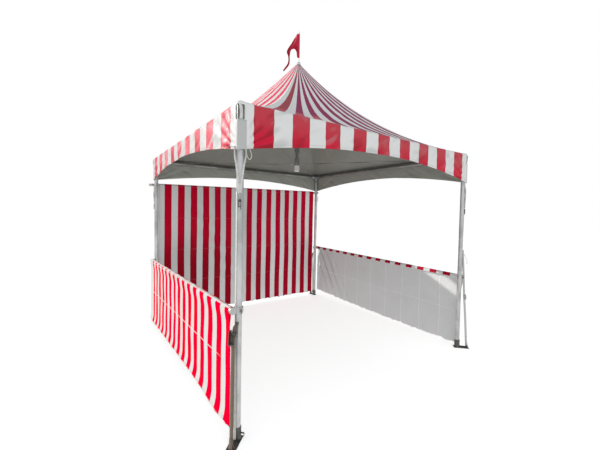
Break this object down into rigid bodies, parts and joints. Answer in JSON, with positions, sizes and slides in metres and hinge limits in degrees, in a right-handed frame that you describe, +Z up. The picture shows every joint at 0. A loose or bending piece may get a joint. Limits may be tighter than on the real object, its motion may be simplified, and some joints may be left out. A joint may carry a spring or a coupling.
{
  "type": "high-peak frame tent with striped canopy and side walls",
  "caption": "Square frame tent on tube legs with a concave striped high-peak canopy, arched valance, pennant, one full rear wall and two half-height side walls.",
  "frame": {"origin": "on the ground at the centre of the tent's square plan", "axes": "+Z up, -Y towards the open front, +X to the right as seen from the front"},
  "size_m": [3.219, 3.219, 4.075],
  "materials": {
    "aluminium_tube": "extruded tube with a dull mill finish, lightly scuffed",
    "galvanised_steel": "galvanised, dull",
    "white_plastic": "moulded, satin",
    "canopy_vinyl": "coated vinyl in red and white stripes, soft gloss",
    "wall_vinyl": "coated vinyl in red and white stripes, white on the back",
    "pennant_cloth": "thin woven cloth",
    "strap_webbing": "woven webbing with steel buckles"
  },
  "bodies": {
    "root": {"leg_front_left": "aluminium_tube", "leg_front_right": "aluminium_tube", "leg_rear_left": "aluminium_tube", "leg_rear_right": "aluminium_tube", "foot_front_left": "galvanised_steel", "foot_front_right": "galvanised_steel", "foot_rear_left": "galvanised_steel", "foot_rear_right": "galvanised_steel", "corner_front_left": "aluminium_tube", "corner_front_right": "aluminium_tube", "corner_rear_left": "aluminium_tube", "corner_rear_right": "aluminium_tube", "eave_front": "aluminium_tube", "eave_rear": "aluminium_tube", "eave_left": "aluminium_tube", "eave_right": "aluminium_tube", "mast_cap": "white_plastic", "mast_jack": "aluminium_tube", "mast_tube": "aluminium_tube", "mast_crown": "galvanised_steel", "flag_pole": "white_plastic", "pennant": "pennant_cloth", "cable_front_left": "galvanised_steel", "cable_front_right": "galvanised_steel", "cable_rear_left": "galvanised_steel", "cable_rear_right": "galvanised_steel", "canopy_front": "canopy_vinyl", "canopy_right": "canopy_vinyl", "canopy_rear": "canopy_vinyl", "canopy_left": "canopy_vinyl", "rail_left": "aluminium_tube", "rail_right": "aluminium_tube", "rail_rear": "aluminium_tube", "wall_left": "wall_vinyl", "wall_right": "wall_vinyl", "wall_rear": "wall_vinyl", "canopy_strap_front_left": "strap_webbing", "canopy_strap_front_right": "strap_webbing", "canopy_strap_rear_left": "strap_webbing", "canopy_strap_rear_right": "strap_webbing", "tie_down_front_left": "strap_webbing", "tie_down_front_right": "strap_webbing", "tie_down_rear_left": "strap_webbing", "tie_down_rear_right": "strap_webbing"}
  },
  "joints": []
}
